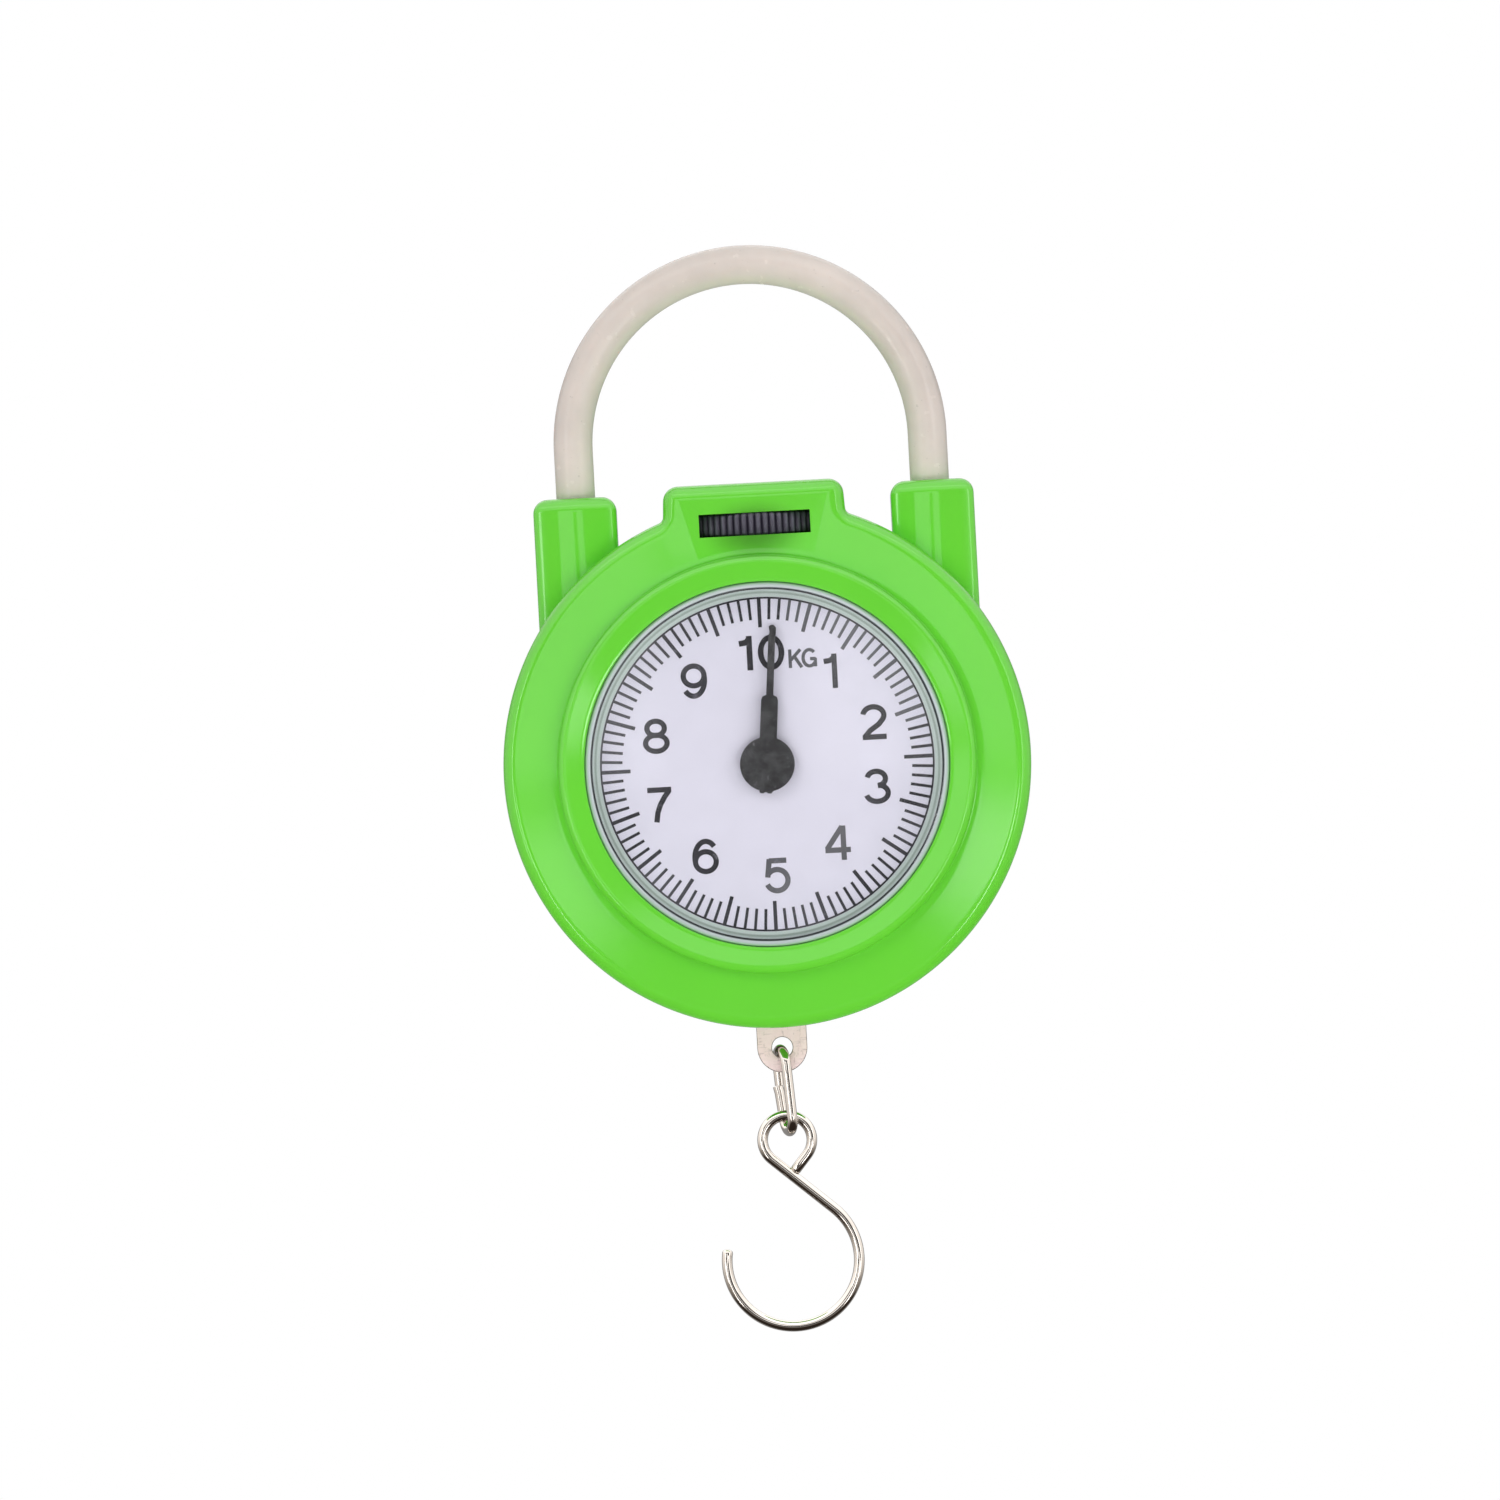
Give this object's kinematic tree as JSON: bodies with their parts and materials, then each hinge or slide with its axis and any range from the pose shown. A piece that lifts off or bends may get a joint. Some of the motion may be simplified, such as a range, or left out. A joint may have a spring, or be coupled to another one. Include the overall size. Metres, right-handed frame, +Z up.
{
  "type": "hanging spring scale",
  "caption": "Hand-held hanging spring scale: round green case with a dial under a clear window, bent rod handle on top, zero wheel, and an S-hook on a link below.",
  "frame": {"origin": "the hang point: the underside of the handle's crown, in the handle's own plane, which is also the plane where the two case halves meet", "axes": "+Z up, along the load line; the dial faces -Y; +X is to the right as seen from the front"},
  "size_m": [0.0736, 0.0251, 0.1522],
  "materials": {
    "green_plastic": "glossy moulded lime green",
    "beige_plastic": "satin moulded beige",
    "black_plastic": "satin black",
    "clear_plastic": "clear polished",
    "dial_white": "white with printed scale",
    "steel_strip": "zinc plated",
    "plated_plate": "brushed, nickel plated",
    "spring_wire": "drawn spring wire",
    "nickel_wire": "polished nickel plate",
    "brass": "machined",
    "screw_steel": "zinc plated"
  },
  "bodies": {
    "housing": {"front_shell": "green_plastic", "rear_cover": "green_plastic", "window_lens": "clear_plastic", "dial_plate": "dial_white", "movement_bridge": "steel_strip", "bridge_screw_left": "screw_steel", "bridge_screw_right": "screw_steel", "case_screw_left": "screw_steel", "case_screw_right": "screw_steel", "handle_screw_left": "screw_steel", "handle_screw_right": "screw_steel", "handle": "beige_plastic"},
    "zero_wheel": {"zero_wheel": "black_plastic"},
    "hanger": {"spring_hanger": "steel_strip", "spring_left": "spring_wire", "spring_right": "spring_wire"},
    "arbor": {"arbor": "screw_steel"},
    "pointer": {"pinion": "brass", "pointer": "black_plastic"},
    "draw_plate": {"draw_plate": "plated_plate"},
    "link": {"link": "nickel_wire"},
    "hook": {"s_hook": "nickel_wire"}
  },
  "joints": [
    {"name": "zero_turn", "type": "hinge", "parent": "housing", "child": "zero_wheel", "pos_m": [0, 0, -0.03372], "axis": [0, 0, 1], "range_deg": [-360, 360]},
    {"name": "hanger_slide", "type": "slide", "parent": "housing", "child": "hanger", "axis": [0, 0, -1], "range_m": [-0.0007, 0.0007]},
    {"name": "arbor_turn", "type": "hinge", "parent": "housing", "child": "arbor", "pos_m": [0, 0, -0.06728], "axis": [0, 1, 0], "range_deg": [-13.5, 13.5]},
    {"name": "load_slide", "type": "slide", "parent": "hanger", "child": "draw_plate", "axis": [0, 0, -1], "range_m": [0, 0.01885], "stiffness_N_per_m": 5202, "springref_m": -0.0002, "deforming": ["spring_left", "spring_right"]},
    {"name": "pointer_turn", "type": "hinge", "parent": "arbor", "child": "pointer", "pos_m": [0, 0, -0.06728], "axis": [0, 1, 0], "range_deg": [-1, 361]},
    {"name": "link_swing", "type": "hinge", "parent": "draw_plate", "child": "link", "pos_m": [0, 0, -0.10698], "axis": [0, 1, 0], "range_deg": [-75, 75]},
    {"name": "hook_swing", "type": "hinge", "parent": "link", "child": "hook", "pos_m": [0, 0, -0.11653], "axis": [1, 0, 0], "range_deg": [-75, 75]}
  ],
  "couplings": [
    {"joint": "zero_turn", "follows": "hanger_slide", "rad_per_m": 8976},
    {"joint": "arbor_turn", "follows": "hanger_slide", "rad_per_m": 333.33},
    {"joint": "pointer_turn", "follows": "load_slide", "rad_per_m": 333.33}
  ]
}
